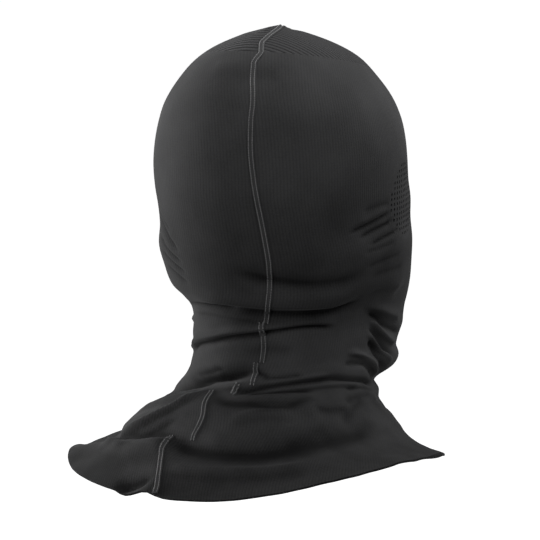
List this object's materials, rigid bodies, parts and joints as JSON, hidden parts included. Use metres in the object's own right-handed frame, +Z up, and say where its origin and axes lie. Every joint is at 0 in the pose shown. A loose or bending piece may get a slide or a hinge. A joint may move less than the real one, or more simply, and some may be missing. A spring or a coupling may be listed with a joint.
{
  "type": "motorcycle balaclava",
  "caption": "Close-fitting knitted head and neck hood with an oval eye opening, meshed ear zones, a crown vent zone and a flared shoulder cape, in its worn shape.",
  "frame": {"origin": "where the top of the wearer's head bears on the inside of the crown", "axes": "+Z up, the face towards -Y, the wearer's left towards +X"},
  "size_m": [0.257, 0.2491, 0.3025],
  "materials": {
    "rib_knit": "thin charcoal black fine rib knit, matt with a soft sheen at its edges",
    "vent_knit": "open cross-ribbed knit, matt",
    "eyelet_mesh": "eyelet mesh knit, matt",
    "binding": "doubled elastic binding, matt",
    "seam_thread": "flat seam with dark grey thread"
  },
  "bodies": {
    "root": {"hood": "rib_knit", "crown_panel": "vent_knit", "ear_mesh_left": "eyelet_mesh", "ear_mesh_right": "eyelet_mesh", "eye_binding": "binding", "centre_seam": "seam_thread"}
  },
  "joints": []
}
